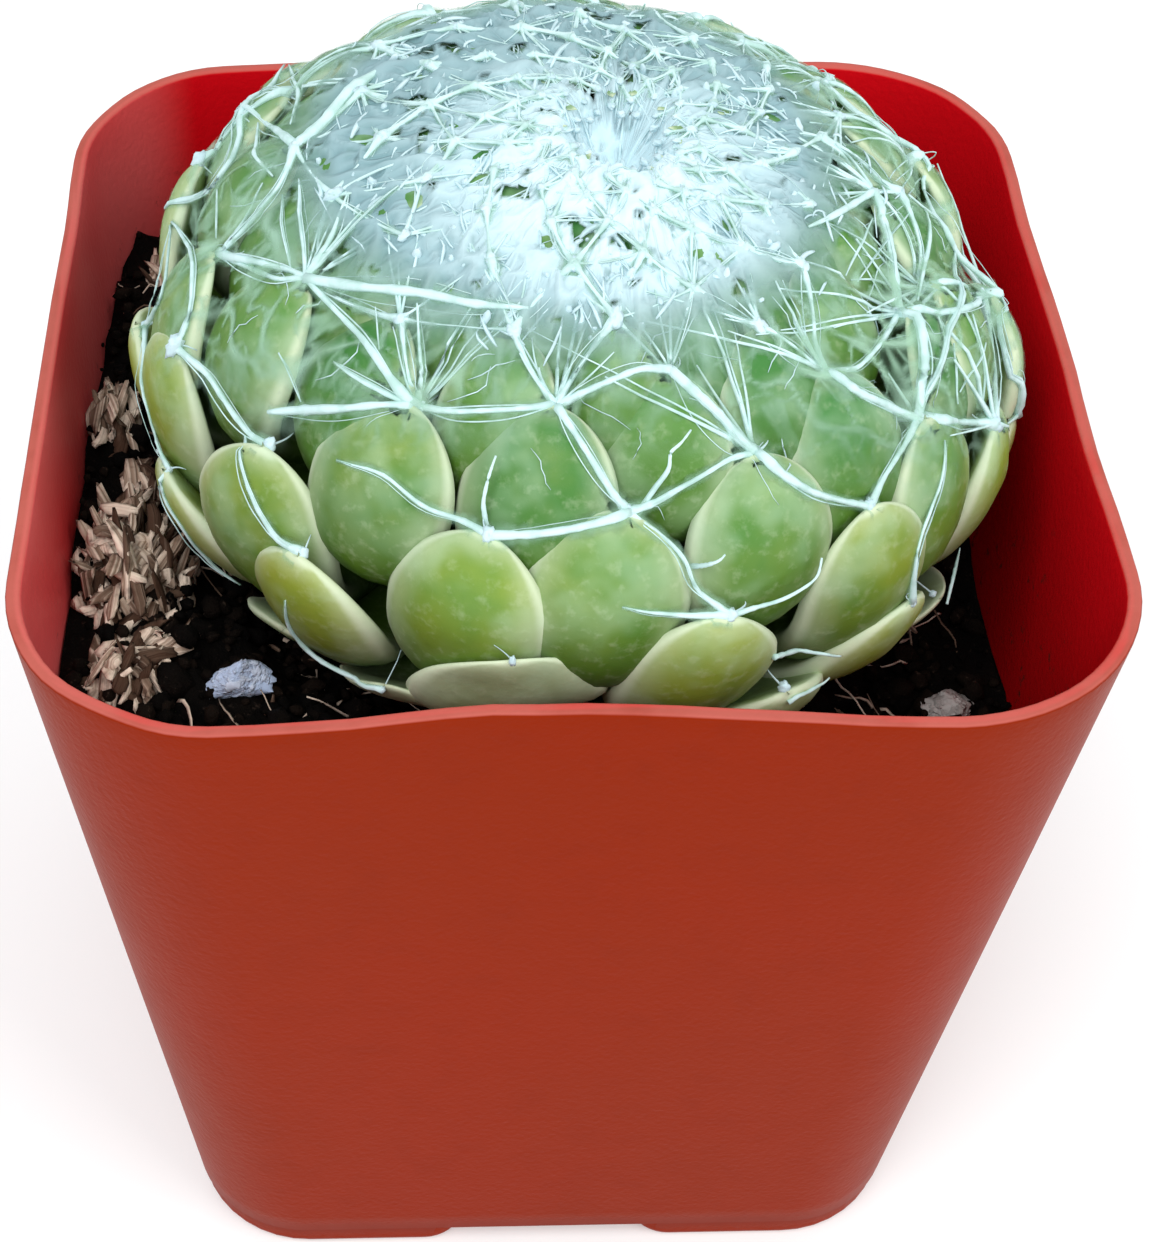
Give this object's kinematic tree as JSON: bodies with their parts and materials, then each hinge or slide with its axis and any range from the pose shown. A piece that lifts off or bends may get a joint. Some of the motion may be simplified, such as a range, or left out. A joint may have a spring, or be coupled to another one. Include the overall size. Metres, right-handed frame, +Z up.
{
  "type": "potted cobweb houseleek",
  "caption": "Globe-shaped cobweb houseleek rosette under a net of white threads, rooted in dark potting mix in a small square tapered terracotta-coloured nursery pot with corner feet.",
  "frame": {"origin": "centre of the pot's footprint, on the surface that its feet stand on", "axes": "+Z up, -Y towards the pot's front wall (the one that bows in), +X to the right seen from the front"},
  "size_m": [0.054, 0.054, 0.0695],
  "materials": {
    "pot_plastic": "satin",
    "potting_mix": "matte",
    "leaf": "satin",
    "wool": "matte",
    "bark": "matte",
    "perlite": "matte",
    "flint": "satin"
  },
  "bodies": {
    "root": {"pot": "pot_plastic", "soil": "potting_mix", "rosette": "leaf", "cobweb": "wool", "bark_chip_1": "bark", "bark_chip_2": "bark", "bark_chip_3": "bark", "bark_chip_4": "bark", "bark_chip_5": "bark", "bark_chip_6": "bark", "perlite_grain_1": "perlite", "perlite_grain_2": "perlite", "flint_chip": "flint"}
  },
  "joints": []
}
